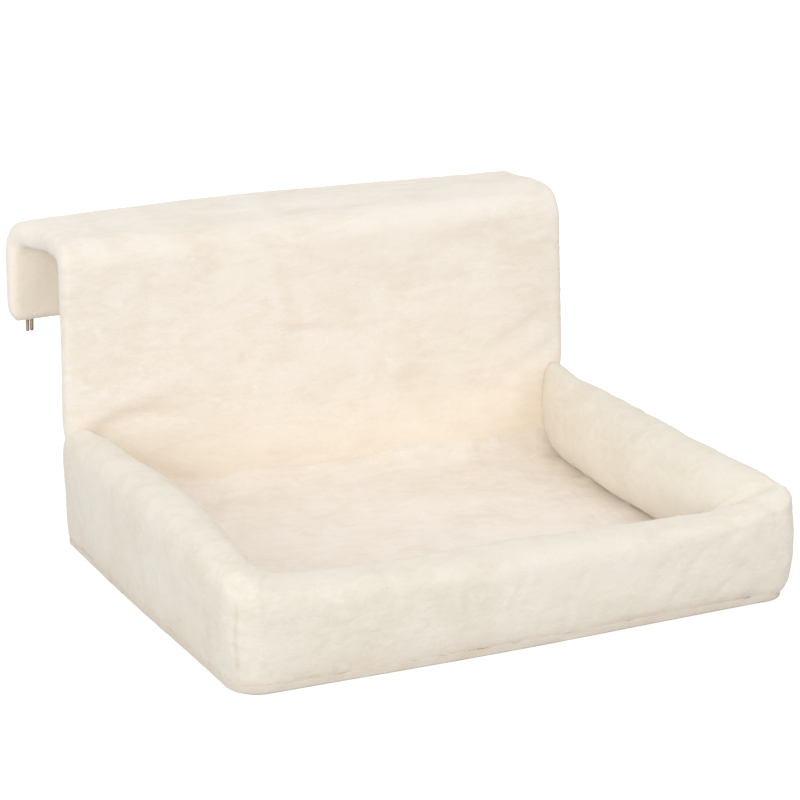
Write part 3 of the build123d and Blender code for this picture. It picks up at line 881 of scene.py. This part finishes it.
def strip_half_widths(strip, outer):
    """How far the strip reaches to the left and the right at each ring."""
    y, z = outer.T / MM
    along = np.linspace(0, 1, len(outer))
    hem, flare = HEM / MM, strip.flare / MM
    # Drawn in towards the top, and again low on the panel, between the ends of the rim
    narrow = PANEL_HIGH.x / MM + 0.5 - 5.2 * np.clip(z / HIGH, 0, 1) ** 1.4
    narrow -= 3 * ramp(z, 100, 86) * (along < 0.5)
    # Spread over the hooks, more at the left end than at the right and less again at the hem
    back = ramp(y, PANEL + 60, REAR)
    fall = ramp(z, HIGH + 5, HIGH - 15) * (along > 0.5)
    hem_turn = ramp(z, hem - 7, hem + 7)
    left = narrow + back * (0.66 + 0.34 * fall) * flare * (0.3 + 0.7 * hem_turn)
    right = narrow - 0.5 + back * (1 + 0.7 * fall * flare * (0.5 + 0.5 * hem_turn))
    return softened(left, 2) * MM, softened(right, 2) * MM


def strip_rows(strip):
    """Rings of points round the padded strip: its front, right end, back and left end."""
    outer, inner = strip_lines(strip)
    angles = np.radians(np.linspace(0, 180, STRIP_TURN + 2)[1:-1])
    rows = []
    for o, i, left, right in zip(outer, inner, *strip_half_widths(strip, outer)):
        round_x = min(strip.end_radius, 0.95 * np.linalg.norm(o - i) / 2)
        x = np.linspace(-left + round_x, right - round_x, STRIP_ACROSS)
        turned_x = round_x * np.sin(angles)
        turned = np.outer(np.cos(angles), (o - i) / 2)
        middle = (o + i) / 2
        rows.append(np.concatenate([
            np.concatenate([x[:, None], np.tile(o, (STRIP_ACROSS, 1))], 1),
            np.concatenate([(right - round_x + turned_x)[:, None], middle + turned], 1),
            np.concatenate([x[::-1, None], np.tile(i, (STRIP_ACROSS, 1))], 1),
            np.concatenate([(-left + round_x - turned_x)[:, None], middle - turned], 1),
        ]))
    return np.array(rows)


def strip_end_faces(base):
    """Faces that join the front and back of the strip's first or last ring."""
    back = 2 * STRIP_ACROSS + STRIP_TURN - 1
    faces = [(k, k + 1, back - k - 1, back - k) for k in range(STRIP_ACROSS - 1)]
    faces.append(range(STRIP_ACROSS - 1, STRIP_ACROSS + STRIP_TURN + 1))
    faces.append((*range(back, back + STRIP_TURN + 1), 0))
    return [tuple(base + k for k in face) for face in faces]


def build_strip(strip):
    """The padded strip: back panel, top and rear flap in one."""
    rows = strip_rows(strip)
    last = (len(rows) - 1) * rows.shape[1]
    cloth = closed_grid("padded_strip", rows, "open", strip_end_faces(0) + strip_end_faces(last))
    points = places(cloth)
    x, y, z = points.T / MM
    edge = ramp(np.abs(x), HALF - 2, HALF - 12)
    face = ramp(y, PANEL + 5, PANEL) * ramp(z, HIGH - 4, HIGH - 18)
    tuck = np.zeros(len(points))
    # Soft waves, the folds of the photograph with painted shade in them, and the swell between the rim's
    # ends
    move = strip.slack_depth * ripples(points * [1, 1, 0.8], 95 * MM, SEED + 11)
    move += 0.35 * strip.slack_depth * ripples(points, 42 * MM, SEED + 12)
    for line, width, depth in PANEL_FOLDS:
        near, signed = crease(x, z, line, width)
        wide, _ = crease(x, z, line, 2.4 * width)
        move += face * strip.fold_depth * depth * (0.55 * wide * np.tanh(signed / width) - 0.75 * near)
        # Painted shade along the middle of each fold
        tuck = np.maximum(tuck, 0.4 * depth * face * near)
    move += face * 1.4 * MM * hump(z, 56, 16) * ramp(np.abs(x - 20), 190, 140)
    move *= 1 - 0.7 * ramp(z, HIGH - 22, HIGH - 8)
    # The padding of the top
    rise = hump(x, -50, 160) * ramp(y, PANEL + 30, PANEL + 60)
    rise += ramp(x, 150, 210) * hump(y, PANEL + 42, 32)
    move += strip.top_rise * rise * (z > HIGH - 10)
    push(cloth, move * ramp(z, 1, 9) * (0.25 + 0.75 * edge))
    # Painted bounce light: the pile made lighter and warmer inside the flap and low on the panel
    under_side = (TOP - strip.top_thickness) / MM
    flap_middle = REAR - 0.6 * strip.thickness / MM
    inside = ramp(z, under_side + 3, under_side - 5) * ramp(y, PANEL + 32, PANEL + 44)
    inside *= ramp(y, flap_middle, flap_middle - 4)
    low = ramp(z, 112, 52) * face
    bounce_light = low * (0.6 + 0.4 * ramp(np.abs(x), 60, 180))
    store(cloth, "tuck", np.clip(tuck, 0, 1))
    store(cloth, "plain_pile_and_bounce_light", np.maximum(inside, bounce_light))
    divide(cloth)
    points = places(cloth)
    push(cloth, pile(points, 0.1, 0.1, SEED + 14) * ramp(points[:, 2], 0, 4 * MM))
    return cloth


# The floor and the tray


def build_floor(tub):
    """The tub's padded floor, which curves up into the back panel."""
    half = HALF_WIDTH - 9 * MM
    front = TUB_FRONT + 12 * MM
    bend = tub.floor_radius
    bend_start = PANEL_FRONT + 2.5 * MM - bend
    base = TRAY_HIGH.z - 4 * MM
    x = np.linspace(-half, half, 100)
    run = np.linspace((front, 0.0), (bend_start, 0.0), 72)[:-1]
    line = np.concatenate([run, arc_points((bend_start, bend), bend, -90, -4, 20)])
    top = np.zeros((len(line), len(x), 3))
    top[:, :, 0] = x
    top[:, :, 1] = line[:, :1]
    top[:, :, 2] = tub.floor_height + line[:, 1:] - tub.floor_crown * (x / half) ** 2
    bottom = top[:, ::-1].copy()
    bottom[:, :, 2] = base
    floor = closed_grid("padded_floor", np.concatenate([top, bottom], 1), "zip")
    points = places(floor)
    flat = points * [1, 1, 0.2]
    waves = 1.3 * MM * ripples(flat, 60 * MM, SEED + 21) + 0.7 * MM * ripples(flat, 28 * MM, SEED + 22)
    push(floor, waves * ramp(points[:, 2], base + 2 * MM, base + 7 * MM))
    store(floor, "tuck", np.zeros(len(points)))
    divide(floor)
    push(floor, pile(places(floor), 0.2, 0.12, SEED + 24))
    return floor


def tray_outline(tub, inset):
    """The tray's plan, drawn in by an inset, from the left rear round the front to the right rear."""
    on_side, on_front, on_turn = 90, 110, 16
    left_radius, right_radius = tub.left_radius + 1 * MM - inset, tub.right_radius + 7 * MM - inset
    rear_round, rear_draw = 9 * MM, 3 * MM
    rear = PANEL_FRONT + REAR_WRAP - inset
    front = TUB_FRONT + inset
    x = HALF_WIDTH - inset
    left_x, left_y = -x + left_radius, front + left_radius
    right_x, right_y = x - right_radius, front + right_radius
    plan = np.concatenate([
        np.linspace((-x, rear), (-x, left_y), on_side)[:-1],
        arc_points((left_x, left_y), left_radius, 180, 270, on_turn)[:-1],
        np.linspace((left_x, front), (right_x, front), on_front)[:-1],
        arc_points((right_x, right_y), right_radius, 270, 360, on_turn)[:-1],
        np.linspace((x, right_y), (x, rear), on_side),
        np.linspace((x, rear), (-x, rear), on_front)[1:-1],
    ])
    plan[:, 0] *= 1 - rear_draw / x * ramp(plan[:, 1], rear - rear_round, rear) ** 2
    return plan


def build_tray(tub):
    """The cloth tray under the tub, its edge rounded at the ground and drawn in at the seam."""
    top = tub.seam_height + HEM_ROUND
    proud, low_round = 0.5 * MM, 2.2 * MM
    turn = np.radians(np.linspace(-90, 0, 8))
    edge = np.stack([low_round * (1 - np.cos(turn)) - proud, low_round * (1 + np.sin(turn))], 1)
    upper = ((-proud, 0.6 * top), (-0.4 * MM, top - 0.9 * MM), (-0.1 * MM, top - 0.2 * MM))
    rows = []
    for inset, z in ((14 * MM, 0.0), *edge, *upper, (1.5 * MM, top), (12 * MM, top)):
        plan = tray_outline(tub, inset)
        rows.append(np.concatenate([plan, np.full((len(plan), 1), z)], 1))
    tray = closed_grid("base_tray", np.array(rows), "fan")
    place(tray, bowed(places(tray), tub))
    points = places(tray)
    z = points[:, 2]
    side = ramp(z, 0.4 * MM, 2.4 * MM)
    waves = 0.3 * MM * ripples(points * [1, 1, 0.4], 12 * MM, SEED + 31)
    push(tray, side * (waves + 0.5 * MM * foot_pleats(points)))
    # Painted shade over the tray, deepest at its lip under the seam
    store(tray, "tuck", 0.12 + 0.35 * ramp(z, top - 1.5 * MM, top))
    return tray


# Stitches


STITCH_NODES = {
    "given": "NodeGroupInput",
    "curve": "GeometryNodeMeshToCurve",
    "steps": "GeometryNodeCurveToPoints",
    "bead": "GeometryNodeMeshIcoSphere",
    "half": "ShaderNodeMath",
    "size": "ShaderNodeCombineXYZ",
    "aim": "FunctionNodeAlignRotationToVector",
    "copies": "GeometryNodeInstanceOnPoints",
    "real": "GeometryNodeRealizeInstances",
    "paint": "GeometryNodeSetMaterial",
    "out": "NodeGroupOutput",
}
STITCH_LINKS = (
    ("given", "Geometry", "curve", 0),
    ("curve", 0, "steps", "Curve"),
    ("given", "Pitch", "steps", "Length"),
    ("steps", "Points", "copies", "Points"),
    ("bead", "Mesh", "copies", "Instance"),
    ("steps", "Tangent", "aim", "Vector"),
    ("aim", "Rotation", "copies", "Rotation"),
    ("given", "Stitch", "half", 0),
    ("given", "Thread", "size", "X"),
    ("given", "Thread", "size", "Y"),
    ("half", 0, "size", "Z"),
    ("size", 0, "copies", "Scale"),
    ("copies", "Instances", "real", 0),
    ("real", 0, "paint", "Geometry"),
    ("given", "Material", "paint", "Material"),
    ("paint", 0, "out", 0),
)


def stitch_tree():
    """Geometry nodes that sew a line: stitches at even steps along an edge."""
    tree = bpy.data.node_groups.new("stitches", "GeometryNodeTree")
    for name in ("Geometry", "Stitch", "Pitch", "Thread", "Material"):
        kind = name if name in ("Geometry", "Material") else "Float"
        tree.interface.new_socket(name, in_out="INPUT", socket_type=f"NodeSocket{kind}")
    tree.interface.new_socket("Geometry", in_out="OUTPUT", socket_type="NodeSocketGeometry")
    nodes = {name: tree.nodes.new(kind) for name, kind in STITCH_NODES.items()}
    nodes["steps"].mode = "LENGTH"
    nodes["bead"].inputs["Radius"].default_value = 1.0
    nodes["bead"].inputs["Subdivisions"].default_value = 1
    nodes["half"].operation = "MULTIPLY"
    nodes["half"].inputs[1].default_value = 0.5
    nodes["aim"].axis = "Z"
    for source, output, target, entry in STITCH_LINKS:
        tree.links.new(nodes[source].outputs[output], nodes[target].inputs[entry])
    return tree


def sewn(name, line, sizes, material):
    """A row of stitches along a line of points, as one plain mesh."""
    guide_mesh = bpy.data.meshes.new(name + "_line")
    guide_mesh.from_pydata([tuple(p) for p in line], [(k, k + 1) for k in range(len(line) - 1)], [])
    guide = linked(name + "_line", guide_mesh)
    tree = bpy.data.node_groups.get("stitches") or stitch_tree()
    sewing = guide.modifiers.new("sewing", "NODES")
    sewing.node_group = tree
    given = {item.name: item.identifier for item in tree.interface.items_tree if item.in_out == "INPUT"}
    sewing[given["Stitch"]] = sizes.stitch
    sewing[given["Pitch"]] = sizes.pitch
    sewing[given["Thread"]] = sizes.thread
    sewing[given["Material"]] = material
    graph = bpy.context.evaluated_depsgraph_get()
    mesh = bpy.data.meshes.new_from_object(guide.evaluated_get(graph))
    mesh.name = name
    bpy.data.objects.remove(guide)
    if not mesh.polygons:
        raise RuntimeError(f"{name} has no stitches")
    mesh.polygons.foreach_set("use_smooth", [True] * len(mesh.polygons))
    return linked(name, mesh)


def on_surface(line, target):
    """A line moved onto the nearest place of a piece."""
    shape = target.evaluated_get(bpy.context.evaluated_depsgraph_get())
    moved = []
    for point in line:
        hit, spot, _, _ = shape.closest_point_on_mesh(Vector(point))
        if not hit:
            raise RuntimeError(f"no surface of {target.name} near a seam")
        moved.append(spot)
    return moved


# The stage


# Places and colour of the lights, their size, and what they aim at
KEY_PLACE = (-2.0, -1.9, 1.0)
FILL_PLACE = (0.9, -2.5, 1.3)
LIGHT_COLOUR = (0.97, 0.99, 1.0)
LIGHT_SIZE = 1.8
LIGHT_AIM = Vector((0, 0, 0.08))
SURROUND_COLOUR = (0.985, 0.99, 1.0, 1)
WHITE = (1, 1, 1, 1)

# The floor sheet: half its side, its grey, and the glow that makes it white to the camera alone
SHEET_REACH = 6.0
SHEET_GREY = (0.6, 0.6, 0.6, 1)
SHEET_GLOW = 0.66


def build_light(name, power, spot):
    """A soft lamp that looks at the bed."""
    lamp = bpy.data.lights.new(name, "AREA")
    lamp.energy = power
    lamp.color = LIGHT_COLOUR
    lamp.size = LIGHT_SIZE
    obj = linked(name, lamp)
    obj.location = spot
    obj.rotation_mode = "QUATERNION"
    obj.rotation_quaternion = (LIGHT_AIM - Vector(spot)).to_track_quat("-Z", "Y")


def build_floor_sheet():
    """A plain pale floor that shows white and keeps the bed's shadow."""
    mesh = bpy.data.meshes.new("studio_floor")
    corners = [(x * SHEET_REACH, y * SHEET_REACH, 0) for x, y in ((-1, -1), (1, -1), (1, 1), (-1, 1))]
    mesh.from_pydata(corners, [], [(0, 1, 2, 3)])
    sheet = linked("studio_floor", mesh)
    m = new_material("studio_floor")
    m.shader.inputs["Base Color"].default_value = SHEET_GREY
    m.shader.inputs["Roughness"].default_value = 0.9
    m.shader.inputs["Specular IOR Level"].default_value = 0.1
    plain = m.shader.outputs[0]
    glow = m.new("ShaderNodeEmission", {"Color": WHITE, "Strength": SHEET_GLOW})
    both = m.new("ShaderNodeAddShader", {0: plain, 1: glow.outputs[0]})
    seen = m.new("ShaderNodeLightPath").outputs["Is Camera Ray"]
    choice = m.new("ShaderNodeMixShader", {0: seen, 1: plain, 2: both.outputs[0]})
    m.link(choice.outputs[0], m.tree.nodes["Material Output"].inputs["Surface"])
    mesh.materials.append(m.owner)


def build_world(strength):
    """Soft light from all round, and a white background."""
    world = bpy.data.worlds.new("studio")
    bpy.context.scene.world = world
    m = Nodes(world)
    light = m.tree.nodes["Background"]
    light.inputs["Color"].default_value = SURROUND_COLOUR
    light.inputs["Strength"].default_value = strength
    white = m.new("ShaderNodeBackground", {"Color": WHITE, "Strength": 1.0})
    path = m.new("ShaderNodeLightPath").outputs
    mirrored = m.worked("MAXIMUM", path["Is Glossy Ray"], path["Is Transmission Ray"])
    seen = m.worked("MAXIMUM", path["Is Camera Ray"], mirrored)
    mix = m.new("ShaderNodeMixShader", {0: seen, 1: light.outputs[0], 2: white.outputs[0]})
    m.link(mix.outputs[0], m.tree.nodes["World Output"].inputs["Surface"])


def build_camera(context, settings):
    """The camera at the photograph's viewing angle."""
    data = bpy.data.cameras.new("camera")
    data.sensor_width = 36
    data.lens = settings.focal_length
    data.clip_start, data.clip_end = 0.05, 50
    camera = linked("camera", data)
    turn = Matrix.Rotation(settings.camera_yaw, 4, "Z")
    turn @= Matrix.Rotation(math.pi / 2 - settings.camera_pitch, 4, "X")
    turn @= Matrix.Rotation(settings.camera_roll, 4, "Z")
    camera.matrix_world = Matrix.Translation(settings.camera_place) @ turn
    context.scene.camera = camera


# Operators


class CATBED_OT_finishes(bpy.types.Operator):
    """Gives the frame, the hooks and the hidden pieces their finishes"""

    bl_idname = "catbed.finishes"
    bl_label = "Frame finishes"

    def execute(self, context):
        colours = context.scene.cat_bed_finish
        made = {
            "bronzed_wire": wire_finish(colours),
            "coated_steel": tube_finish(colours),
            "zinc_screw": steel_finish(),
            "black_plastic": plastic_finish(),
            "closure_tape": tape_finish(colours),
            "wadding": filling_finish(),
            "foam": filling_finish(),
            "plush": plush_finish("plain_pile_and_bounce_light", colours),
        }
        for row in frame["record"]["subparts"]:
            node = frame["nodes"][row["node"]]
            for index in range(len(node.data.materials)):
                node.data.materials[index] = made[row["material_slot"]]
        return {"FINISHED"}


class CATBED_OT_rim(bpy.types.Operator):
    """Builds the stuffed rim on three sides of the tub"""

    bl_idname = "catbed.rim"
    bl_label = "Stuffed rim"

    def execute(self, context):
        rim = build_rim(context.scene.cat_bed_tub)
        rim.data.materials.append(plush_finish("rim", context.scene.cat_bed_finish))
        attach(rim, "bed")
        for side in ("left", "front", "right"):
            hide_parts(f"{side}_bolster_cover", f"{side}_bolster_filling")
        return {"FINISHED"}


class CATBED_OT_strip(bpy.types.Operator):
    """Builds the padded strip that goes up the back, over the radiator and down behind it"""

    bl_idname = "catbed.strip"
    bl_label = "Padded strip"

    def execute(self, context):
        strip = build_strip(context.scene.cat_bed_strip)
        strip.data.materials.append(plush_finish("strip", context.scene.cat_bed_finish))
        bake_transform(strip)
        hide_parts("back_cover", "flap_cover", "back_wadding", "flap_wadding")
        return {"FINISHED"}


class CATBED_OT_floor(bpy.types.Operator):
    """Builds the padded floor of the tub"""

    bl_idname = "catbed.floor"
    bl_label = "Padded floor"

    def execute(self, context):
        floor = build_floor(context.scene.cat_bed_tub)
        floor.data.materials.append(plush_finish("floor", context.scene.cat_bed_finish))
        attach(floor, "bed")
        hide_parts("floor_cover", "floor_pad")
        return {"FINISHED"}


class CATBED_OT_tray(bpy.types.Operator):
    """Builds the cloth tray under the tub"""

    bl_idname = "catbed.tray"
    bl_label = "Base tray"

    def execute(self, context):
        tray = build_tray(context.scene.cat_bed_tub)
        tray.data.materials.append(plush_finish("tray", context.scene.cat_bed_finish))
        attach(tray, "bed")
        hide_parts("base_cover", "base_pad")
        return {"FINISHED"}


class CATBED_OT_seams(bpy.types.Operator):
    """Sews the bottom seam round the tub and the hem of the flap"""

    bl_idname = "catbed.seams"
    bl_label = "Seams"

    def execute(self, context):
        tub = context.scene.cat_bed_tub
        sizes = context.scene.cat_bed_sewing
        thread = thread_finish(context.scene.cat_bed_finish)
        seam_z = tub.seam_height + HEM_ROUND / 2
        plan = tray_outline(tub, 0.5 * MM)
        plan = plan[plan[:, 1] < PANEL_FRONT - 3 * MM]
        foot = bowed(np.array([(x, y, seam_z) for x, y in plan]), tub)
        tub_seam = sewn("tub_seam_stitches", foot, sizes, thread)
        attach(tub_seam, "bed")
        hem_y = FLAP_REAR - context.scene.cat_bed_strip.thickness - 2 * MM
        hem_line = [(x, hem_y, HEM + 5 * MM) for x in np.linspace(-210, 210, 240) * MM]
        hem = on_surface(hem_line, bpy.data.objects["padded_strip"])
        hem_seam = sewn("hem_stitches", hem, sizes, thread)
        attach(hem_seam, "hooks")
        return {"FINISHED"}


class CATBED_OT_stage(bpy.types.Operator):
    """Sets the floor, the light and the camera"""

    bl_idname = "catbed.stage"
    bl_label = "Stage"

    def execute(self, context):
        settings = context.scene.cat_bed_stage
        build_floor_sheet()
        build_world(settings.surround)
        build_light("key_light", settings.key_power, KEY_PLACE)
        build_light("fill_light", settings.fill_power, FILL_PLACE)
        build_camera(context, settings)
        context.scene.view_settings.view_transform = "Standard"
        return {"FINISHED"}


class CATBED_PT_panel(bpy.types.Panel):
    """Lists the pieces and their sizes"""

    bl_idname = "CATBED_PT_panel"
    bl_label = "Cat Bed"
    bl_space_type = "VIEW_3D"
    bl_region_type = "UI"
    bl_category = "Cat Bed"

    def draw(self, context):
        for operator in OPERATORS:
            self.layout.operator(operator.bl_idname)
        for name in GROUPS:
            settings = getattr(context.scene, name)
            box = self.layout.box()
            for key in settings.bl_rna.properties.keys():
                if key not in ("rna_type", "name"):
                    box.prop(settings, key)


OPERATORS = (
    CATBED_OT_finishes,
    CATBED_OT_rim,
    CATBED_OT_strip,
    CATBED_OT_floor,
    CATBED_OT_tray,
    CATBED_OT_seams,
    CATBED_OT_stage,
)


def register():
    for group in GROUPS.values():
        bpy.utils.register_class(group)
    for name, group in GROUPS.items():
        setattr(bpy.types.Scene, name, bpy.props.PointerProperty(type=group))
    for operator in OPERATORS:
        bpy.utils.register_class(operator)
    bpy.utils.register_class(CATBED_PT_panel)


def unregister():
    bpy.utils.unregister_class(CATBED_PT_panel)
    for operator in reversed(OPERATORS):
        bpy.utils.unregister_class(operator)
    for name, group in GROUPS.items():
        delattr(bpy.types.Scene, name)
        bpy.utils.unregister_class(group)


def main():
    register()
    for operator in OPERATORS:
        group, name = operator.bl_idname.split(".")
        getattr(getattr(bpy.ops, group), name)()


if __name__ == "__main__":
    main()
